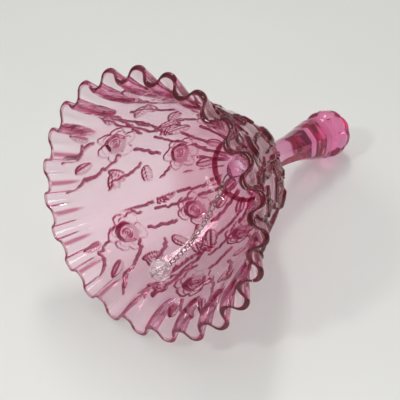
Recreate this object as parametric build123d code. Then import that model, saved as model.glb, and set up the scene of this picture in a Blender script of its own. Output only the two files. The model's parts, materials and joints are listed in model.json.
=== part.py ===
from build123d import *
import os
from math import acos, asin, atan2, cos, hypot, pi, radians, sin

# A pressed glass hand bell lying on its side, with a wire staple in the crown, a fine
# curb chain and a faceted glass bead as the clapper.  Millimetres, +Z up, table at Z = 0.
# The glass is drawn upright in its own frame (z along the bell from the mouth to the
# knob, x towards what is the top when it lies down) and then laid on the table.

# ---- bell ----
# Heights are measured from the middle of the crimped edge, towards the knob.
bell_length = 164.5
crimps = 23
crimp_height = 3.0
edge_run = 0.8
crown_floor = 69.0
crown_floor_radius = 17.2
crown_recess_floor = 71.5
crown_recess_radius = 15.3

# Height, outside radius, wall thickness and how much of the crimp is left at that height.
wall_stations = [
    (0.0, 56.5, 2.6, 1.0),
    (3.4, 54.0, 2.8, 0.96),
    (7.4, 51.6, 3.0, 0.78),
    (12.4, 48.9, 3.0, 0.40),
    (18.5, 46.0, 3.0, 0.07),
    (26.0, 42.9, 3.0, 0.0),
    (35.0, 39.3, 3.0, 0.0),
    (45.0, 35.6, 3.1, 0.0),
    (54.0, 32.0, 3.3, 0.0),
    (61.5, 28.4, 3.6, 0.0),
]
shoulder_outside = [(67.5, 24.7), (73.0, 19.9), (77.5, 15.2), (81.5, 11.2), (85.0, 8.6)]

# ---- handle ----
neck_sides = 6
neck_stations = [(79.0, 11.0), (90.0, 8.1), (102.0, 7.1), (114.0, 7.5), (125.0, 8.9), (134.0, 10.2), (142.0, 10.6)]
collar_radius = 9.6
collar_height = 138.4
collar_wire = 1.5
knob_radius = 13.2
knob_height = bell_length - knob_radius + 0.4
knob_flat_depth = 0.95

# ---- pressed roses and leaves on the outside ----
# Height, outside radius there, slope of the wall, size and first turn of each row.
flowers_round = 6
rose_rows = [(60.0, 29.2, 27.0, 1.0, 90.0), (26.5, 42.7, 23.0, 1.15, 80.0)]
leaf_rows = [(57.0, 30.6, 26.0, 35.0, 120.0), (43.5, 36.2, 20.0, -40.0, 97.0), (24.0, 43.8, 23.0, 30.0, 110.0)]
rose_petals = 5
petal_size = (3.7, 3.1, 1.5)
petal_reach = 4.9
inner_ring = (2.7, 1.15)
rose_heart = 1.5
leaf_size = (6.8, 2.9, 1.5)

# ---- hanger, chain and clapper ----
dab_top = 63.0
dab_radius = 5.4
staple_wire = 0.7
staple_spread = 2.5
chain_links = 17
link_wire = 0.5
link_play = 0.08
hanger_play = 0.32
link_width = 2.5
link_twist = 45.0
chain_start = (-4.3, 56.9)
chain_end = (-35.6, 25.8)
chain_sag = 5.4
bead_radius = 5.2
bead_flat_depth = 0.28
bead_centre = (-36.7, 18.2)
bead_hole_radius = 0.36
pin_wire = 0.6
eye_radius = 0.95
pin_head_radius = 0.62


def crimped_ring(radius, height, lean, share):
    """Closed curve round the bell; the crimps push it square to the wall and out past the edge."""
    steps = crimps * 4
    points = []
    for step in range(steps):
        turn = 2 * pi * step / steps
        push = crimp_height * share * cos(crimps * turn)
        run = edge_run * share**2 * cos(crimps * turn)
        reach = radius + push * cos(lean) + run * sin(lean)
        z = height + push * sin(lean) - run * cos(lean)
        points.append((reach * cos(turn), reach * sin(turn), z))
    knots = [step / steps for step in range(steps + 1)]
    return Wire([Edge.make_spline(points, periodic=True, parameters=knots)])


def wall_lean(index):
    """Angle between the wall and the axis at one station."""
    low = wall_stations[max(index - 1, 0)]
    high = wall_stations[min(index + 1, len(wall_stations) - 1)]
    return atan2(low[1] - high[1], high[0] - low[0])


def wall_ring(index, depth):
    """Ring at one station, depth 0 on the outside of the wall and 1 on the inside."""
    height, radius, wall, share = wall_stations[index]
    lean = wall_lean(index)
    inward = wall * depth
    return crimped_ring(radius - inward * cos(lean), height - inward * sin(lean), lean, share)


def rim_ring(turn):
    """Ring on the rounded edge of the mouth, turning from the outside (0) to the inside (pi)."""
    height, radius, wall, share = wall_stations[0]
    lean = wall_lean(0)
    out = wall / 2 * (cos(turn) - 1)
    past = wall / 2 * sin(turn)
    ring_radius = radius + out * cos(lean) + past * sin(lean)
    ring_height = height + out * sin(lean) - past * cos(lean)
    return crimped_ring(ring_radius, ring_height, lean, share)


def skirt():
    """Wall of the bell: one skin from the neck down the outside, round the edge and up the inside."""
    stations = range(len(wall_stations))
    rings = [crimped_ring(radius, height, 0, 0) for height, radius in reversed(shoulder_outside)]
    rings += [wall_ring(index, 0) for index in reversed(stations)]
    rings += [rim_ring(radians(turn)) for turn in (45, 90, 135)]
    rings += [wall_ring(index, 1) for index in stations]
    rings += [crimped_ring(crown_floor_radius, crown_floor, 0, 0)]
    return Solid.make_loft(rings)


def faceted_ball(radius, flat_depth, around):
    """Ball ground with three belts of flats, the middle belt half a step out of line."""
    ball = Sphere(radius)
    slab = Box(4 * radius, 4 * radius, 2 * radius, align=(Align.CENTER, Align.CENTER, Align.MIN))
    for lift, shift in ((-45, 0.0), (0, 0.5), (45, 0.0)):
        for index in range(around):
            turn = 360 * (index + shift) / around
            ball -= Rot(0, 0, turn) * Rot(0, 90 - lift, 0) * Pos(0, 0, radius - flat_depth) * slab
    return ball


def neck():
    """Six-sided stem, thinnest in the middle of the grip, widening to the crown and the knob."""
    sections = [Pos(0, 0, z) * RegularPolygon(r, neck_sides, rotation=180 / neck_sides) for z, r in neck_stations]
    return loft(sections)


def rose(size):
    """Cabbage rose in low relief: open petals round a rolled heart."""
    flower = Sphere(rose_heart * size) + Torus(inner_ring[0] * size, inner_ring[1] * size)
    petal = scale(Sphere(size), by=petal_size)
    for index in range(rose_petals):
        flower += Rot(0, 0, 360 * index / rose_petals) * Pos(petal_reach * size, 0, 0) * Rot(0, 12, 25) * petal
    return flower


def round_the_wall(shape, height, radius, lean, first_turn):
    """Copies of one pressed shape half sunk in the wall, evenly spaced round the bell."""
    on_wall = Pos(radius, 0, height) * Rot(0, 90 - lean, 0) * shape
    return [Rot(0, 0, -first_turn - 360 * index / flowers_round) * on_wall for index in range(flowers_round)]


def relief():
    """Two rows of roses with leaves between and below them."""
    pressed = []
    for height, radius, lean, size, first_turn in rose_rows:
        pressed += round_the_wall(rose(size), height, radius, lean, first_turn)
    for height, radius, lean, slant, first_turn in leaf_rows:
        leaf = Rot(0, 0, slant) * scale(Sphere(1), by=leaf_size)
        pressed += round_the_wall(leaf, height, radius, lean, first_turn)
    return pressed


def glass_bell():
    """Skirt, neck and knob, pressed in one piece."""
    glass = skirt()
    recess = Pos(0, 0, crown_floor - 1) * Cylinder(
        crown_recess_radius,
        crown_recess_floor - crown_floor + 1,
        align=(Align.CENTER, Align.CENTER, Align.MIN),
    )
    glass = glass - recess
    glass += relief()
    glass += neck()
    glass += Pos(0, 0, collar_height) * Torus(collar_radius, collar_wire)
    glass += Pos(0, 0, knob_height) * faceted_ball(knob_radius, knob_flat_depth, 8)
    return glass


def hanger_dab(staple):
    """Rounded dab of clear glass on the crown floor that holds the feet of the staple."""
    height = crown_recess_floor - dab_top
    ball = (dab_radius**2 + height**2) / (2 * height)
    dab = Pos(0, 0, dab_top + ball) * Sphere(ball)
    below = Pos(0, 0, crown_recess_floor) * Cylinder(
        3 * dab_radius, 3 * dab_radius, align=(Align.CENTER, Align.CENTER, Align.MIN)
    )
    return dab - below - staple


def swept_wire(path, wire):
    """Round wire along a smooth curve; a closed curve is swept in thirds."""
    runs = [path.trim(part / 3, (part + 1) / 3) for part in range(3)] if path.is_closed else [path]
    swept = [sweep(Plane(origin=run @ 0, z_dir=run % 0) * Circle(wire / 2), path=run) for run in runs]
    return Part() + swept


def arc_points():
    """Hinge points of the hanging chain: an arc that sags below the line between its ends."""
    run = (chain_end[0] - chain_start[0], chain_end[1] - chain_start[1])
    chord = hypot(*run)
    arc_radius = chord**2 / (8 * chain_sag) + chain_sag / 2
    half_turn = asin(chord / 2 / arc_radius)
    along = (run[0] / chord, run[1] / chord)
    sag_way = (-along[1], along[0])
    if sag_way[0] > 0:
        sag_way = (along[1], -along[0])
    points = []
    for index in range(chain_links + 1):
        turn = half_turn * (2 * index / chain_links - 1)
        forward = chord / 2 + arc_radius * sin(turn)
        down = arc_radius * cos(turn) - (arc_radius - chain_sag)
        x = chain_start[0] + along[0] * forward + sag_way[0] * down
        z = chain_start[1] + along[1] * forward + sag_way[1] * down
        points.append(Vector(x, 0, z))
    return points


def hop(hinges, index):
    """Plane at the middle of one link: x along the link, y across the bell."""
    run = hinges[index + 1] - hinges[index]
    middle = (hinges[index + 1] + hinges[index]) * 0.5
    return Plane(origin=middle, x_dir=run, z_dir=run.cross(Vector(0, 1, 0)))


def chain_link(pitch):
    """Oval wire link twisted a quarter turn end to end, so that its neighbours lie in line with it."""
    half_length = (pitch + link_wire + link_play) / 2
    half_width = (link_width - link_wire) / 2
    points = []
    for step in range(16):
        turn = 2 * pi * step / 16
        across = half_width * sin(turn)
        twist = radians(link_twist) * cos(turn)
        points.append((half_length * cos(turn), across * cos(twist), across * sin(twist)))
    return swept_wire(Edge.make_spline(points, periodic=True), link_wire)


def wire_staple(hinges):
    """Wire bent to a narrow V: the bend carries the first link, the feet stand in the dab."""
    first = hop(hinges, 0)
    bend = hinges[0] + first.x_dir * (hanger_play + staple_wire) / 2
    foot_top = Vector(-1.2, 0, dab_top + 1.2)
    foot = Vector(-0.6, 0, dab_top + 4.4)
    shoulder = bend - first.x_dir * 1.5
    across_bend = (first.y_dir + first.z_dir).normalized()
    across_feet = Vector(0, 1, 0)
    sides = [
        (shoulder, across_bend * 1.25),
        (foot_top, across_feet * staple_spread * 0.86),
        (foot, across_feet * staple_spread),
    ]
    left = [middle - side for middle, side in reversed(sides)]
    right = [middle + side for middle, side in sides]
    return swept_wire(Edge.make_spline(left + [bend] + right), staple_wire)


def bead_frame(hinges):
    """Plane at the bead's centre with x pointing away from the chain along the pin."""
    centre = Vector(bead_centre[0], 0, bead_centre[1])
    run = centre - hinges[-1]
    return Plane(origin=centre, x_dir=run, z_dir=run.cross(Vector(0, 1, 0)))


def bead_pin(hinges):
    """Wire with an eye for the last link, a shank through the bead and a small round head."""
    reach = (Vector(bead_centre[0], 0, bead_centre[1]) - hinges[-1]).length
    eye_middle = -reach + eye_radius - (link_wire + link_play) / 2
    eye = Rot(-link_twist, 0, 0) * Torus(eye_radius, link_wire / 2)
    shank_start = eye_middle + eye_radius
    shank_end = bead_radius + pin_head_radius + 0.05
    shank = Rot(0, 90, 0) * Cylinder(
        pin_wire / 2, shank_end - shank_start, align=(Align.CENTER, Align.CENTER, Align.MIN)
    )
    head = Pos(shank_end, 0, 0) * Sphere(pin_head_radius)
    pin = Pos(eye_middle, 0, 0) * eye + Pos(shank_start, 0, 0) * shank + head
    return bead_frame(hinges).location * pin


def clapper_bead(hinges):
    """Faceted glass bead bored through for its pin."""
    bore = Cylinder(bead_hole_radius, 4 * bead_radius)
    bead = faceted_ball(bead_radius, bead_flat_depth, 8) - bore
    return bead_frame(hinges).location * Rot(0, 90, 0) * bead


def edge_support():
    """Radius and height of the middle of the wall at the two crimps the bell lies on."""
    height, radius, wall, share = wall_stations[0]
    lean = wall_lean(0)
    push = crimp_height * share - wall / 2
    run = edge_run * share**2
    reach = radius + push * cos(lean) + run * sin(lean)
    return reach * cos(pi / crimps), height + push * sin(lean) - run * cos(lean)


def resting_tilt():
    """Angle at which two neighbouring crimps and the knob touch the table together."""
    reach, height = edge_support()
    run = hypot(knob_height - height, reach)
    drop = knob_radius - wall_stations[0][2] / 2
    return acos(drop / run) - atan2(knob_height - height, reach)


def laid_down():
    """Location that lays the upright bell on the table, mouth towards -X."""
    tilt = resting_tilt()
    mouth_height = knob_height * sin(tilt) + knob_radius
    along = (cos(tilt), 0, -sin(tilt))
    return Plane(origin=(0, 0, mouth_height), x_dir=(sin(tilt), 0, cos(tilt)), z_dir=along).location


def build():
    hinges = arc_points()
    pitch = (hinges[1] - hinges[0]).length
    staple = wire_staple(hinges)
    pieces = {
        "glass_bell": glass_bell(),
        "hanger_dab": hanger_dab(staple),
        "wire_staple": staple,
        "bead_pin": bead_pin(hinges),
        "clapper_bead": clapper_bead(hinges),
    }
    link = chain_link(pitch)
    for index in range(chain_links):
        pieces[f"chain_link_{index + 1:02d}"] = hop(hinges, index).location * link
    lay = laid_down()
    pieces = {name: lay * piece for name, piece in pieces.items()}
    box = pieces["glass_bell"].bounding_box()
    centre = Pos(-(box.min.X + box.max.X) / 2, -(box.min.Y + box.max.Y) / 2, 0)
    return {name: centre * piece for name, piece in pieces.items()}


os.makedirs("parts", exist_ok=True)
for node, shape in build().items():
    export_step(shape, f"parts/{node}.step")
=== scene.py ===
import json
import math
import random

import bmesh
import bpy
import numpy as np
from mathutils import Matrix, Vector


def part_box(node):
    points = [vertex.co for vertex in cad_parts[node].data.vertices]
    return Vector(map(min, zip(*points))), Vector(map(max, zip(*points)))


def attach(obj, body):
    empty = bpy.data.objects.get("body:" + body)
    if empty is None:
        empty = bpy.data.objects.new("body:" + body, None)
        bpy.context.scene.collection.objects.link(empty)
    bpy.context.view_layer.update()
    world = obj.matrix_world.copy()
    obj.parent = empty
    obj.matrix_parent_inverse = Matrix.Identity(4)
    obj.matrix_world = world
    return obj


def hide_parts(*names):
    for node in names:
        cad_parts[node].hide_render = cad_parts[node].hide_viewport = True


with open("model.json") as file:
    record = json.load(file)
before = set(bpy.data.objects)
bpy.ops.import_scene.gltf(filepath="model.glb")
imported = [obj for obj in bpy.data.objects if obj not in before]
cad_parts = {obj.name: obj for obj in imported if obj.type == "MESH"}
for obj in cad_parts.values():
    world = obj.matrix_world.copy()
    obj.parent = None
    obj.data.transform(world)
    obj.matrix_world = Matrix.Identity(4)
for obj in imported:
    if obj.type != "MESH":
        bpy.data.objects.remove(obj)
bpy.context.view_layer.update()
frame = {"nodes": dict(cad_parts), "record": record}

MM = 0.001

# ---- where the bell lies: the record's mount at the edge gives the mouth's middle and the bell's axis ----
mounts = {mount["name"]: mount for mount in frame["record"]["mounts"]}
mouth = Vector(mounts["mouth_edge"]["pos_m"])
along = -Vector(mounts["mouth_edge"]["axis"]).normalized()
upward = Vector((-along.z, 0.0, along.x))
across = Vector((0.0, 1.0, 0.0))

# ---- sizes of the pressed glass, in millimetres; heights run from the mouth to the knob ----
# The edge's crimps: how many, and how far they push out, run along the wall and slip sideways.
CRIMPS = 23
CRIMP_HEIGHT = 3.0
EDGE_RUN = 0.8
LOOP_SLIP = 0.75
SEGMENTS = CRIMPS * 40
# Skirt and shoulder: height, outside radius, thickness of the wall, share of the crimps.
WALL = [
    (0.0, 56.5, 2.6, 1.0),
    (3.4, 54.0, 2.8, 0.96),
    (7.4, 51.6, 3.0, 0.78),
    (12.4, 48.9, 3.0, 0.40),
    (18.5, 46.0, 3.0, 0.07),
    (26.0, 42.9, 3.0, 0.0),
    (35.0, 39.3, 3.0, 0.0),
    (45.0, 35.6, 3.1, 0.0),
    (54.0, 32.0, 3.3, 0.0),
    (61.5, 28.4, 3.6, 0.0),
    (67.5, 24.7, 4.0, 0.0),
    (73.0, 19.9, 4.0, 0.0),
    (77.5, 15.2, 4.0, 0.0),
    (81.5, 11.6, 4.0, 0.0),
    (85.0, 9.3, 4.0, 0.0),
]
WALL_TOP = WALL[-1][0]
# Neck and collar: height, radius at the corners, how six-sided the outline is.
NECK = [
    (85.0, 9.3, 0.3),
    (90.0, 8.1, 0.6),
    (102.0, 7.1, 0.7),
    (114.0, 7.5, 0.7),
    (125.0, 8.9, 0.6),
    (133.0, 10.3, 0.4),
    (136.0, 10.7, 0.3),
    (138.4, 11.0, 0.2),
    (140.2, 10.3, 0.1),
    (141.6, 9.3, 0.1),
    (142.6, 9.56, 0.0),
]
NECK_TOP = NECK[-1][0]
KNOB_RADIUS = 13.2
KNOB_HEIGHT = 151.7
# Rows of petals pressed into the knob: angle above its middle in degrees, how many, half width in radians.
KNOB_PETALS = [(58, 6, 0.50), (22, 8, 0.44), (-14, 8, 0.42), (-42, 7, 0.34)]
PETAL_DEPTH = 1.7
# Step and ring in the crown, seen from the mouth: height, radius, tone; the ring's high tone is painted
# shade.
CROWN = [
    (66.0, 20.6, 0.15),
    (68.0, 18.6, 0.15),
    (68.7, 17.4, 0.15),
    (68.95, 16.3, 0.15),
    (69.1, 15.9, 0.2),
    (69.4, 15.6, 0.75),
    (70.6, 15.2, 0.75),
    (71.2, 14.8, 0.75),
    (71.45, 14.4, 0.75),
    (71.5, 14.0, 0.1),
]
CROWN_FLOOR = CROWN[-1][0]
CROWN_FLOOR_RADII = (12.0, 8.0, 4.0, 1.0)
# Tone is how crimson the glass is painted at a point, from 0 to 1: a faint tint, and above it painted shade
# that stands in for light's long paths through thick glass.
WALL_TONE = 0.15
# Painted shade on the mouth's rounded edge.
RIM_PAINTED_SHADE = 0.3
# Painted shade in the crimps' inward folds.
FOLD_PAINTED_SHADE = 0.4
# Way in the wall, round the bell and towards the crown: relief flanks that rise this way get the most painted
# shade.
DARK_ROUND, DARK_UP = 0.64, 0.77


def smooth_curve(stations, column):
    """Smooth function through one column of a table of stations, without overshoot."""
    x = np.array([row[0] for row in stations])
    y = np.array([row[column] for row in stations])
    step = np.diff(x)
    slope = np.diff(y) / step
    tangent = np.zeros(len(x))
    tangent[0], tangent[-1] = slope[0], slope[-1]
    for i in range(1, len(x) - 1):
        if slope[i - 1] * slope[i] > 0:
            before, after = 2 * step[i] + step[i - 1], step[i] + 2 * step[i - 1]
            tangent[i] = (before + after) / (before / slope[i - 1] + after / slope[i])

    def at(value):
        value = np.asarray(value, float)
        i = np.clip(np.searchsorted(x, value) - 1, 0, len(x) - 2)
        t = (value - x[i]) / step[i]
        return (
            (2 * t**3 - 3 * t**2 + 1) * y[i]
            + (t**3 - 2 * t**2 + t) * step[i] * tangent[i]
            + (3 * t**2 - 2 * t**3) * y[i + 1]
            + (t**3 - t**2) * step[i] * tangent[i + 1]
        )

    return at


outside = smooth_curve(WALL, 1)
thickness = smooth_curve(WALL, 2)
crimp_share = smooth_curve(WALL, 3)


def lean(height):
    """Angle between the wall and the axis."""
    low, high = np.clip(height - 0.6, 0, WALL_TOP), np.clip(height + 0.6, 0, WALL_TOP)
    return np.arctan2(outside(low) - outside(high), high - low)


def soft_step(value):
    """Smooth rise from 0 to 1."""
    value = np.clip(value, 0, 1)
    return value * value * (3 - 2 * value)


# ---- relief pressed into the outside: motifs raise a grid of points round and up the wall ----
def on_motif(turn, height, middle_turn, middle_height, twist):
    """Flat coordinates of grid points round one motif: u round the bell, v towards the crown."""
    away = (turn - math.radians(middle_turn) + math.pi) % (2 * math.pi) - math.pi
    u = away * outside(np.clip(height, 0, WALL_TOP))
    v = (height - middle_height) / math.cos(float(lean(middle_height)))
    c, s = math.cos(math.radians(twist)), math.sin(math.radians(twist))
    return u * c + v * s, v * c - u * s


# Outer petals of a rose: how many, distance from the middle, radius, height.
PETAL_ROWS = [(6, 6.2, 3.6, 0.5), (5, 4.6, 3.4, 0.7)]
ROSE_RADIUS = 9.8
ROSE_REACH = 12.0


def rose_height(u, v, size, rng):
    """Cabbage rose: ruffled outer petals, a steep ring of inner petals and a raised spiral heart."""
    u, v = u / size, v / size
    angle = np.arctan2(v, u)
    out = np.hypot(u, v)
    height = np.zeros_like(u)
    for row, (count, reach, radius, level) in enumerate(PETAL_ROWS):
        for index in range(count):
            way = 2 * math.pi * (index + 0.5 * row) / count + rng.uniform(-0.2, 0.2)
            du, dv = u - reach * math.cos(way), v - reach * math.sin(way)
            edge_angle = np.arctan2(dv, du)
            ruffle = 1 + 0.07 * np.sin(3 * edge_angle + rng.uniform(0, 6)) + 0.04 * np.sin(8 * edge_angle)
            d = np.hypot(du, dv) / (radius * ruffle)
            petal = level * (0.72 + 0.28 * d)
            height = np.where(d < 1, np.maximum(petal * soft_step((1 - d) / 0.36), height), height)
    brim_way = rng.uniform(0, 6.3)
    brim = 5.3 + 0.35 * np.sin(2 * angle + brim_way) + 0.2 * np.sin(5 * angle + brim_way)
    rise = np.clip((brim - out) / 2.1, 0, 1)
    level = 0.4 + 1.7 * rise - 0.3 * soft_step((brim - 2.4 - out) / 1.0)
    spiral = 0.22 * np.cos(2 * math.pi * (out / 1.15) - angle) * soft_step((2.9 - out) / 0.5)
    height = np.where(out < brim, level + spiral, height)
    return height * soft_step((ROSE_RADIUS - out) / 0.5)


CRESCENT_RADIUS = 4.1
CRESCENT_WIDTH = 1.25


def crescent_painted_shade(u, v, size):
    """Painted shade of the dark crescent round a rose's heart, widest on the dark side."""
    out = np.maximum(np.hypot(u, v) / size, 0.01)
    facing = -(DARK_ROUND * u + DARK_UP * v) / (out * size)
    width = CRESCENT_WIDTH * np.clip((facing + 0.3) / 1.3, 0, 1)
    return 0.95 * soft_step((width - np.abs(out - CRESCENT_RADIUS)) / 0.4 + 0.3) * (facing > -0.3)


def leaf_height(u, v, length, width):
    """Serrated leaf with a midrib and side veins, its stalk at u = 0."""
    t = u / length
    body = np.clip(t * (1 - t), 0, 1)
    half = width * 0.5 * (np.sqrt(4 * body)) * (0.75 + 0.5 * (1 - t))
    teeth = (t * 9 + 0.25 * np.sign(v)) % 1.0
    half = half * (0.86 + 0.2 * teeth)
    inside = soft_step((half - np.abs(v)) / 0.85) * ((t > 0) & (t < 1))
    veins = np.abs((t * 6 - np.abs(v) / width * 1.7) % 1.0 - 0.5) * 2
    rib = np.exp(-((v / 0.32) ** 2))
    return inside * (0.55 + 0.25 * veins + 0.5 * rib + 0.2 * np.abs(v) / width)


# Kinks in each run of a stem's path; a stem is only worked out within its reach.
KINKS = 5
STEM_HEIGHT = 1.05
STEM_REACH = 34.0
# Painted shade along the middle of a stem's line.
STEM_PAINTED_SHADE = 0.7


def kinked(path, rng):
    """The path with kinks in each of its runs."""
    points = []
    for (a, b), (c, d) in zip(path[:-1], path[1:]):
        for kink in range(KINKS):
            f = kink / KINKS
            turn = a + (c - a) * f + rng.uniform(-1.0, 1.0)
            height = b + (d - b) * f + rng.uniform(-0.7, 0.7)
            points.append((turn, height))
    return points + [path[-1]]


def stem_height(turn, height, path, rng, thick):
    """Height of a thin thorny stem along a path of turn and height, and the painted shade along it."""
    points = kinked(path, rng)
    best = np.full(turn.shape, 9.0)
    for (a, b), (c, d) in zip(points[:-1], points[1:]):
        u, v = on_motif(turn, height, a, b, 0)
        run_u = math.radians(c - a) * float(outside((b + d) / 2))
        run_v = (d - b) / math.cos(float(lean(b)))
        run = max(math.hypot(run_u, run_v), 0.01)
        f = np.clip((u * run_u + v * run_v) / run**2, 0, 1)
        best = np.minimum(best, np.hypot(u - f * run_u, v - f * run_v) / rng.uniform(0.7, 1.3))
    raised = STEM_HEIGHT * np.exp(-((best / thick) ** 4))
    return raised, STEM_PAINTED_SHADE * np.exp(-((best / (0.95 * thick)) ** 4))


# One repeat of the pattern, with turns in degrees. Roses: height, turn, size.
REPEATS = 6
ROSES = [(60.0, 90.0, 0.98), (26.5, 80.0, 1.05)]
# Leaves: height and turn of the stalk, length, width, twist in degrees.
LEAVES = [
    (58.0, 117.0, 12.0, 6.5, -55.0),
    (44.0, 66.0, 12.5, 6.0, 140.0),
    (43.0, 99.0, 11.0, 6.0, 20.0),
    (27.0, 101.0, 11.5, 6.5, 10.0),
    (17.0, 93.0, 9.0, 5.0, -60.0),
    (70.0, 72.0, 10.0, 5.0, 100.0),
    (20.0, 66.0, 9.0, 5.0, -150.0),
    (33.0, 106.0, 10.0, 5.5, -120.0),
    (50.0, 72.0, 10.0, 5.5, -170.0),
    (14.0, 79.0, 8.0, 4.5, -100.0),
    (68.0, 104.0, 11.0, 5.0, 95.0),
    (75.0, 88.0, 9.0, 4.0, 85.0),
]
# Stems: points of turn and height, half thickness.
STEMS = [
    ([(62, 14), (66, 26), (68, 40), (69, 52)], 0.42),
    ([(57, 12), (60, 26), (63, 38)], 0.40),
    ([(74, 44), (77, 52), (79, 62)], 0.36),
    ([(66, 56), (70, 64), (73, 72)], 0.42),
    ([(80, 17), (84, 12), (89, 10), (93, 6.5)], 0.40),
    ([(88, 30), (95, 27), (100, 20), (104, 12), (108, 8)], 0.42),
    ([(97, 40), (103, 36), (106, 28), (112, 24)], 0.42),
    ([(84, 36), (88, 45), (90, 50)], 0.5),
    ([(95, 68), (98, 76), (96, 82)], 0.6),
    ([(70, 52), (66, 44), (62, 38), (60, 30)], 0.42),
    ([(72, 36), (66, 31), (61, 24), (60, 18)], 0.4),
    ([(104, 56), (112, 50), (118, 52), (124, 46), (131, 47)], 0.42),
    ([(80, 66), (84, 72), (85, 80)], 0.6),
    ([(112, 62), (113, 70), (112, 79)], 0.6),
]
# Upright strips of wall without relief, in degrees: turn of the first, step between them, half width.
PLAIN_STRIP = 119.0
STRIP_STEP = 120.0
STRIP_HALF = 6.5


def merge(grid, near, values):
    """The grid with a motif's values at its near points, where they are the higher ones."""
    part = np.zeros_like(grid)
    part[near] = values
    return np.maximum(grid, part)


def relief(turn, height):
    """Height of the pressed pattern over the plain wall, and the painted shade of its stems and crescents."""
    rng = random.Random(11)
    total, relief_painted_shade = np.zeros_like(turn), np.zeros_like(turn)
    for copy in range(REPEATS):
        step = 360.0 / REPEATS * copy
        for middle, first, size in ROSES:
            u, v = on_motif(turn, height, first + step, middle, rng.uniform(0, 360))
            near = np.hypot(u, v) < ROSE_REACH
            total = merge(total, near, rose_height(u[near], v[near], size, rng))
            u, v = on_motif(turn, height, first + step, middle, 0)
            relief_painted_shade = np.maximum(relief_painted_shade, crescent_painted_shade(u, v, size))
        for middle, first, length, width, twist in LEAVES:
            u, v = on_motif(turn, height, first + step, middle, twist + rng.uniform(-8, 8))
            near = np.hypot(u, v) < length + 2
            total = merge(total, near, leaf_height(u[near], v[near], length, width))
        for path, thick in STEMS:
            moved = [(a + step, b) for a, b in path]
            u, v = on_motif(turn, height, moved[0][0], moved[0][1], 0)
            near = np.hypot(u, v) < STEM_REACH
            raised, dark = stem_height(turn[near], height[near], moved, rng, thick)
            total, relief_painted_shade = merge(total, near, raised), merge(relief_painted_shade, near, dark)
    beside = (np.degrees(turn) - PLAIN_STRIP + STRIP_STEP / 2) % STRIP_STEP - STRIP_STEP / 2
    panel = soft_step((np.abs(beside) - STRIP_HALF) / 4.0)
    return total * panel, relief_painted_shade * panel


# ---- the bell's skin: rings of x, y, z and tone, from the knob's end to the middle of the crown ----
turns = np.arange(SEGMENTS) * 2 * math.pi / SEGMENTS
SIXTH = math.radians(60)
# Rounding of the six-sided outline: how sharp its corners are, and the radius that caps them.
CORNER_SHARPNESS = 28
CORNER_CAP = 0.975


def to_world(x, y, z):
    """Points in millimetres in the bell's own directions, as metres in the row frame."""
    local = np.stack([x, y, z], axis=-1) * MM
    return local @ np.array([upward, across, along]) + np.array(mouth)


def hexagon(turn, share):
    """Radius of an outline between a circle of radius 1 and a six-sided one with rounded corners."""
    away = turn % SIXTH - SIXTH / 2
    flat = math.cos(SIXTH / 2) / np.cos(away)
    blend = np.exp(-CORNER_SHARPNESS * flat) + np.exp(-CORNER_SHARPNESS * CORNER_CAP)
    rounded = -np.log(blend) / CORNER_SHARPNESS
    return 1 - share + share * rounded


def knob_petals():
    """Way from the knob's middle to each petal, and its half width."""
    rng = random.Random(5)
    petals = []
    for lift, count, size in KNOB_PETALS:
        up = math.radians(lift)
        for index in range(count):
            way = 2 * math.pi * (index + rng.uniform(-0.06, 0.06)) / count + lift
            petals.append((math.cos(up) * math.cos(way), math.cos(up) * math.sin(way), math.sin(up), size))
    return petals


def knob_rings():
    """Ball with rows of pressed petals, from its top down to the neck."""
    petals = knob_petals()
    rings = []
    bottom = math.pi - math.acos((KNOB_HEIGHT - NECK_TOP) / KNOB_RADIUS)
    for tilt in np.linspace(0.03, bottom, 58):
        x, y = np.sin(tilt) * np.cos(turns), np.sin(tilt) * np.sin(turns)
        z = np.full(SEGMENTS, math.cos(tilt))
        sunk = np.full(SEGMENTS, 1.0)
        for px, py, pz, size in petals:
            d = np.arccos(np.clip(x * px + y * py + z * pz, -1, 1)) / size
            petal = 0.15 + 0.45 * d**2
            sunk = np.where(d < 1, np.minimum(sunk, petal + soft_step((d - 0.86) / 0.14) * 0.6), sunk)
        fade = soft_step((bottom - tilt) / 0.25)
        radius = KNOB_RADIUS - PETAL_DEPTH * sunk * fade
        rings.append((radius * x, radius * y, KNOB_HEIGHT + radius * z, 0.0))
    return rings


def neck_rings():
    """Six-sided neck, with closer rings in the collar under the knob."""
    radius, share = smooth_curve(NECK, 1), smooth_curve(NECK, 2)
    rings = []
    for height in np.concatenate([np.linspace(142.3, 133, 24), np.linspace(132, 86, 34)]):
        reach = radius(height) * hexagon(turns, float(share(height)))
        rings.append((reach * np.cos(turns), reach * np.sin(turns), np.full(SEGMENTS, height), 0.0))
    return rings


def crimp(share):
    """Round loops of the crimped edge: outward push, run along the wall and sideways slip."""
    wave = CRIMPS * turns
    push = CRIMP_HEIGHT * share * np.cos(wave)
    run = EDGE_RUN * share * share * np.cos(wave)
    slip = LOOP_SLIP * share * share * np.sin(2 * wave)
    return push, run, slip


def wall_ring(height, radius, slope, share, depth, past=0.0):
    """Ring at one height: depth is from the outside into the wall, past runs beyond the edge."""
    push, run, slip = crimp(share)
    outward, forward = push - depth, past + run
    reach = radius + outward * np.cos(slope) + forward * np.sin(slope)
    z = height + outward * np.sin(slope) - forward * np.cos(slope)
    turn = turns + slip / radius
    return reach * np.cos(turn), reach * np.sin(turn), z


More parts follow.
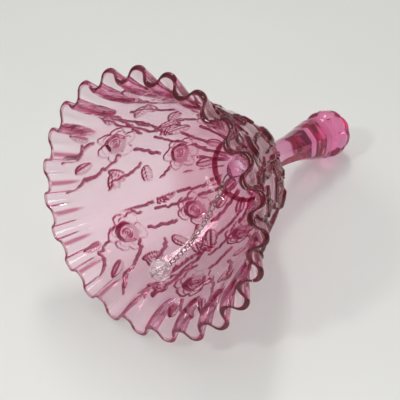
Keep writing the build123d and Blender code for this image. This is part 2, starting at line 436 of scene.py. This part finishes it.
def slope_painted_shade(proud, heights):
    """Painted shade on the pressed lines: strongest on steep flanks that rise the dark way."""
    around = 2 * math.pi * outside(heights)[:, None] / SEGMENTS
    slope_u = (np.roll(proud, -1, axis=1) - np.roll(proud, 1, axis=1)) / (2 * around)
    slope_v = np.gradient(proud, axis=0) / np.gradient(heights)[:, None] * np.cos(lean(heights))[:, None]
    steep = np.hypot(slope_u, slope_v)
    facing = (DARK_ROUND * slope_u + DARK_UP * slope_v) / np.maximum(steep, 1e-6)
    tone = soft_step((steep - 0.12) / 0.5) * (0.16 + 0.84 * np.clip(facing, 0, 1))
    beside = np.maximum(np.roll(tone, 1, axis=1), np.roll(tone, -1, axis=1))
    return np.maximum(tone, 0.6 * beside)


def fold_painted_shade(height):
    """Painted shade in the inward folds of the crimps, a little to one side of their middle."""
    fold = 0.5 - 0.5 * np.cos(CRIMPS * turns + 0.35)
    return FOLD_PAINTED_SHADE * fold**16 * soft_step((17.0 - height) / 11.0)


def plain_tone(height):
    """Tone of the wall without relief: a faint tint, with painted shade added on the shoulder, fading out at
    the start of the neck.
    """
    return WALL_TONE * soft_step((86.0 - height) / 8.0) * (1 + 0.8 * soft_step((height - 50.0) / 15.0))


def outer_rings():
    """Outside of the shoulder and skirt, with the relief; the shoulder's top turns six-sided."""
    rings = []
    heights = np.concatenate([np.linspace(WALL_TOP, 64, 60), np.linspace(63.6, 0.6, 180), [0.0]])
    turn_grid, height_grid = np.meshgrid(turns, heights)
    fade = soft_step((height_grid - 4.0) / 4.0) * soft_step((83.0 - height_grid) / 5.0)
    # The relief's second grid is painted shade on its stems and crescents.
    proud, relief_painted_shade = relief(turn_grid, height_grid)
    proud, relief_painted_shade = proud * fade, relief_painted_shade * fade
    lines = np.maximum(slope_painted_shade(proud, heights), relief_painted_shade)
    for row, height in enumerate(heights):
        x, y, z = wall_ring(height, outside(height), lean(height), crimp_share(height), -proud[row])
        if height > 80:
            squared = hexagon(turns, 0.3 * soft_step((height - 80) / 5))
            x, y = x * squared, y * squared
        plain = plain_tone(height)
        tone = lines[row] * (1 - plain) + plain
        rings.append((x, y, z, tone))
    return rings


def rim_rings():
    """Rounded edge of the mouth, tinted with painted shade."""
    height, radius, wall, share = WALL[0]
    slope = float(lean(height))
    rings = []
    for over in np.linspace(0, math.pi, 13)[1:-1]:
        depth, past = wall / 2 * (1 - math.cos(over)), wall / 2 * math.sin(over)
        rings.append((*wall_ring(height, radius, slope, share, depth, past), RIM_PAINTED_SHADE))
    return rings


def inner_rings():
    """Smooth inside of the bowl, the stepped ring in its crown and the crown's flat middle, with painted
    shade in the crimps' folds and on the ring.
    """
    rings = []
    for height in np.concatenate([[0.0], np.linspace(1.0, 63.0, 64)]):
        ring = wall_ring(height, outside(height), lean(height), crimp_share(height), float(thickness(height)))
        rings.append((*ring, np.maximum(fold_painted_shade(height), WALL_TONE)))
    for height, radius, tone in CROWN:
        rings.append((radius * np.cos(turns), radius * np.sin(turns), np.full(SEGMENTS, height), tone))
    for radius in CROWN_FLOOR_RADII:
        rings.append((radius * np.cos(turns), radius * np.sin(turns), np.full(SEGMENTS, CROWN_FLOOR), 0.0))
    return rings


def linked(name, data):
    """New object of this data, put into the scene."""
    piece = bpy.data.objects.new(name, data)
    bpy.context.collection.objects.link(piece)
    return piece


def skin_faces(count, around):
    """Quads between rings and triangles to the point at each end, as indices of points."""
    upper = np.arange(count - 1)[:, None] * around
    lower = upper + around
    one = np.arange(around)
    after = (one + 1) % around
    quads = np.stack([upper + one, upper + after, lower + after, lower + one], axis=-1).reshape(-1, 4)
    first, last, end = count * around, count * around + 1, (count - 1) * around
    top = np.stack([np.full(around, first), after, one], axis=-1)
    bottom = np.stack([np.full(around, last), end + one, end + after], axis=-1)
    return quads, np.concatenate([top, bottom])


def skin_object(name, rings, first_pole, last_pole):
    """Closed mesh of rings with a point at each end, and a tone of tint and painted shade at every point."""
    grid = np.array([to_world(*ring[:3]) for ring in rings])
    tones = np.concatenate([np.broadcast_to(ring[3], SEGMENTS) for ring in rings] + [[0.0, 0.0]])
    points = np.concatenate([grid.reshape(-1, 3), [first_pole, last_pole]])
    quads, caps = skin_faces(len(rings), SEGMENTS)
    corners = np.concatenate([quads.reshape(-1), caps.reshape(-1)])
    sides = np.concatenate([np.full(len(quads), 4), np.full(len(caps), 3)])
    mesh = bpy.data.meshes.new(name)
    mesh.vertices.add(len(points))
    mesh.vertices.foreach_set("co", points.reshape(-1))
    mesh.loops.add(len(corners))
    mesh.loops.foreach_set("vertex_index", corners)
    mesh.polygons.add(len(sides))
    mesh.polygons.foreach_set("loop_start", np.concatenate([[0], np.cumsum(sides)[:-1]]))
    mesh.polygons.foreach_set("loop_total", sides)
    mesh.polygons.foreach_set("use_smooth", np.ones(len(sides), bool))
    mesh.update(calc_edges=True)
    mesh.attributes.new("tone", "FLOAT", "POINT").data.foreach_set("value", tones.astype(np.float32))
    return linked(name, mesh)


def pressed_bell():
    """The whole bell as one skin: knob, neck, outside, edge and inside."""
    rings = knob_rings() + neck_rings() + outer_rings() + rim_rings() + inner_rings()
    tip = to_world(0.0, 0.0, KNOB_HEIGHT + KNOB_RADIUS - 0.3)
    middle = to_world(0.0, 0.0, CROWN_FLOOR)
    return skin_object("bell_skin", rings, tip, middle)


# ---- the clapper's bead ----
BEAD_RADIUS = 5.2
BEAD_FACETS = 8
# Angles of its rings of corners from the pin, in degrees; the first and the last ring edge the bore.
BEAD_TILTS = (4.4, 25, 50, 75, 105, 130, 155, 175.6)


def cut_bead():
    """Clear ball cut into flat facets in belts round the pin, each ring half a facet from the last."""
    low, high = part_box("clapper_bead")
    middle = (Vector(low) + Vector(high)) / 2
    low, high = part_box("chain_link_17")
    pin = ((Vector(low) + Vector(high)) / 2 - middle).normalized()
    side = pin.cross(across).normalized()
    other = pin.cross(side)
    bm = bmesh.new()
    rings = []
    for row, tilt in enumerate(BEAD_TILTS):
        ring = []
        for index in range(BEAD_FACETS):
            turn = 2 * math.pi * (index + 0.5 * (row % 2)) / BEAD_FACETS
            reach = BEAD_RADIUS * math.sin(math.radians(tilt))
            point = side * reach * math.cos(turn) + other * reach * math.sin(turn)
            point += pin * BEAD_RADIUS * math.cos(math.radians(tilt))
            ring.append(bm.verts.new(middle + point * MM))
        rings.append(ring)
    for row, (upper, lower) in enumerate(zip(rings[:-1], rings[1:])):
        for index in range(BEAD_FACETS):
            after = (index + 1) % BEAD_FACETS
            if row % 2:
                bm.faces.new((upper[index], upper[after], lower[after]))
                bm.faces.new((upper[index], lower[after], lower[index]))
            else:
                bm.faces.new((upper[index], upper[after], lower[index]))
                bm.faces.new((upper[after], lower[after], lower[index]))
    for index in range(BEAD_FACETS):
        after = (index + 1) % BEAD_FACETS
        bm.faces.new((rings[0][after], rings[0][index], rings[-1][index], rings[-1][after]))
    bmesh.ops.recalc_face_normals(bm, faces=bm.faces)
    mesh = bpy.data.meshes.new("cut_bead")
    bm.to_mesh(mesh)
    bm.free()
    return linked("cut_bead", mesh)


# ---- materials ----
def new_material(name):
    """Material with its nodes, links and shader."""
    material = bpy.data.materials.new(name)
    material.use_nodes = True
    nodes, links = material.node_tree.nodes, material.node_tree.links
    return material, nodes, links, nodes["Principled BSDF"]


def add_noise(nodes, links, scale):
    """Noise fixed to the object."""
    place = nodes.new("ShaderNodeTexCoord")
    noise = nodes.new("ShaderNodeTexNoise")
    noise.inputs["Scale"].default_value = scale
    noise.inputs["Detail"].default_value = 4.0
    links.new(place.outputs["Object"], noise.inputs["Vector"])
    return noise


def add_mottle(nodes, links, shader, noise, dark, light):
    """Base colour that wanders between two colours with the noise."""
    mottle = nodes.new("ShaderNodeMix")
    mottle.data_type = "RGBA"
    mottle.inputs["A"].default_value = (*dark, 1)
    mottle.inputs["B"].default_value = (*light, 1)
    links.new(noise.outputs["Fac"], mottle.inputs["Factor"])
    links.new(mottle.outputs["Result"], shader.inputs["Base Color"])


def add_bump(nodes, links, shader, height, strength, distance):
    """Small unevenness of the surface."""
    bump = nodes.new("ShaderNodeBump")
    bump.inputs["Strength"].default_value = strength
    bump.inputs["Distance"].default_value = distance
    links.new(height, bump.inputs["Height"])
    links.new(bump.outputs["Normal"], shader.inputs["Normal"])


def glass(name, tint, density, waviness, clearness=1.0):
    """Glass tinted by what its volume absorbs."""
    material, nodes, links, shader = new_material(name)
    shader.inputs["Base Color"].default_value = (1, 1, 1, 1)
    shader.inputs["Transmission Weight"].default_value = clearness
    shader.inputs["Roughness"].default_value = 0.02
    shader.inputs["IOR"].default_value = 1.5
    noise = add_noise(nodes, links, 55.0)
    add_bump(nodes, links, shader, noise.outputs["Fac"], waviness, 0.002)
    absorb = nodes.new("ShaderNodeVolumeAbsorption")
    absorb.inputs["Color"].default_value = (*tint, 1)
    absorb.inputs["Density"].default_value = density
    links.new(absorb.outputs["Volume"], nodes["Material Output"].inputs["Volume"])
    return material


def add_tone(material, stops):
    """Base colour from the mesh's tone attribute of tint and painted shade, through a ramp of (position,
    colour) stops.
    """
    nodes, links = material.node_tree.nodes, material.node_tree.links
    tone = nodes.new("ShaderNodeAttribute")
    tone.attribute_name = "tone"
    ramp = nodes.new("ShaderNodeValToRGB")
    while len(ramp.color_ramp.elements) < len(stops):
        ramp.color_ramp.elements.new(0.5)
    for element, (position, colour) in zip(ramp.color_ramp.elements, stops):
        element.position = position
        element.color = (*colour, 1)
    links.new(tone.outputs["Fac"], ramp.inputs["Fac"])
    links.new(ramp.outputs["Color"], nodes["Principled BSDF"].inputs["Base Color"])


def metal(name, colour, roughness):
    """Drawn wire with uneven tarnish."""
    material, nodes, links, shader = new_material(name)
    shader.inputs["Metallic"].default_value = 1.0
    noise = add_noise(nodes, links, 900.0)
    spread = nodes.new("ShaderNodeMapRange")
    spread.inputs["To Min"].default_value = roughness * 0.7
    spread.inputs["To Max"].default_value = roughness * 1.5
    links.new(noise.outputs["Fac"], spread.inputs["Value"])
    links.new(spread.outputs["Result"], shader.inputs["Roughness"])
    add_mottle(nodes, links, shader, noise, [c * 0.7 for c in colour], colour)
    return material


def floor_material():
    """Pale matt table."""
    material, nodes, links, shader = new_material("pale_table")
    noise = add_noise(nodes, links, 14.0)
    add_mottle(nodes, links, shader, noise, (0.70, 0.70, 0.675), (0.73, 0.73, 0.705))
    shader.inputs["Roughness"].default_value = 0.5
    return material


PINK = (0.82, 0.10, 0.49)
pink_glass = glass("pink_glass", PINK, 72.0, 0.02)
# The ramp runs from clear through pink to deep crimson: the crimson is painted shade for light's long paths
# in the glass.
add_tone(
    pink_glass,
    [
        (0.0, (1.0, 1.0, 1.0)),
        (0.15, (0.99, 0.93, 0.95)),
        (0.35, (0.48, 0.09, 0.17)),
        (0.65, (0.17, 0.003, 0.022)),
        (1.0, (0.11, 0.0, 0.008)),
    ],
)
clear_glass = glass("clear_glass", (0.9, 0.8, 0.85), 12.0, 0.0, 0.9)
dab_glass = glass("dab_glass", PINK, 40.0, 0.1)
silver = metal("silver_wire", (0.40, 0.375, 0.33), 0.16)


def paint(node, material):
    """Give a piece from the CAD its material."""
    piece = frame["nodes"][node]
    piece.data.materials.clear()
    piece.data.materials.append(material)


# ---- pieces ----
bell = pressed_bell()
bell.data.materials.append(pink_glass)
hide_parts("glass_bell")
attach(bell, "bell")

bead = cut_bead()
bead.data.materials.append(clear_glass)
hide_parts("clapper_bead")
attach(bead, "clapper")

for node in frame["nodes"]:
    if node == "hanger_dab":
        paint(node, dab_glass)
    elif node not in ("glass_bell", "clapper_bead"):
        paint(node, silver)

# ---- floor, light and camera, in metres ----
FLOOR_HALF = 3.0
FLOOR_DROP = 0.0002


def floor_object():
    """Flat table just under the bell."""
    half = FLOOR_HALF
    corners = [(-half, -half, 0), (half, -half, 0), (half, half, 0), (-half, half, 0)]
    mesh = bpy.data.meshes.new("table_top")
    mesh.from_pydata(corners, [], [(0, 1, 2, 3)])
    mesh.materials.append(floor_material())
    piece = linked("table_top", mesh)
    piece.location.z = -FLOOR_DROP
    return piece


floor_object()

# Sky: grey at the horizon and white above.
world = bpy.data.worlds.new("studio")
bpy.context.scene.world = world
world.use_nodes = True
sky = world.node_tree.nodes
way = sky.new("ShaderNodeTexCoord")
split = sky.new("ShaderNodeSeparateXYZ")
shade = sky.new("ShaderNodeValToRGB")
world.node_tree.links.new(way.outputs["Generated"], split.inputs["Vector"])
world.node_tree.links.new(split.outputs["Z"], shade.inputs["Fac"])
world.node_tree.links.new(shade.outputs["Color"], sky["Background"].inputs["Color"])
horizon, above = shade.color_ramp.elements
horizon.position = 0.0
horizon.color = (0.28, 0.27, 0.27, 1)
above.position = 0.75
above.color = (0.95, 0.96, 0.96, 1)
sky["Background"].inputs["Strength"].default_value = 0.62


def area_light(name, place, aim, size, power, shadow=True):
    """Rectangular lamp at a place, turned towards its aim."""
    data = bpy.data.lights.new(name, "AREA")
    data.shape = "RECTANGLE"
    data.size, data.size_y = size
    data.energy = power
    data.use_shadow = shadow
    lamp = linked(name, data)
    lamp.location = place
    lamp.rotation_euler = (Vector(aim) - Vector(place)).to_track_quat("-Z", "Y").to_euler()


# The key light casts no shadow, because in the photo the table under the glass is as bright as beside it.
area_light("key", (-0.62, -0.38, 0.62), (-0.03, 0, 0.03), (0.5, 0.4), 3.6, shadow=False)
area_light("glint", (0.35, 0.3, 0.8), (0, 0, 0.05), (0.12, 0.3), 1.6)
area_light("window", (-0.8, 0.2, 0.8), (0, 0, 0.05), (0.11, 0.14), 2.2)

# The camera looks down at the mouth from beside the bell's axis.
AZIMUTH = math.radians(-52.3)
ELEVATION = math.radians(38.95)
camera_data = bpy.data.cameras.new("photo_camera")
camera_data.sensor_width = 36.0
camera_data.lens = 90.0
camera = linked("photo_camera", camera_data)
camera.location = (mouth.x - 0.2405, -0.2137, 0.3205)
level = Vector((math.sin(AZIMUTH), -math.cos(AZIMUTH), 0.0))
back = level * math.cos(ELEVATION) + Vector((0.0, 0.0, math.sin(ELEVATION)))
right = Vector((math.cos(AZIMUTH), math.sin(AZIMUTH), 0.0))
camera.rotation_euler = Matrix((right, back.cross(right), back)).transposed().to_euler()
bpy.context.scene.camera = camera

# Light crosses many walls of glass before it reaches the camera.
GLASS_BOUNCES = 48
scene = bpy.context.scene
scene.view_settings.view_transform = "Standard"
scene.cycles.max_bounces = GLASS_BOUNCES
scene.cycles.transmission_bounces = GLASS_BOUNCES
scene.cycles.glossy_bounces = GLASS_BOUNCES
scene.cycles.diffuse_bounces = 4
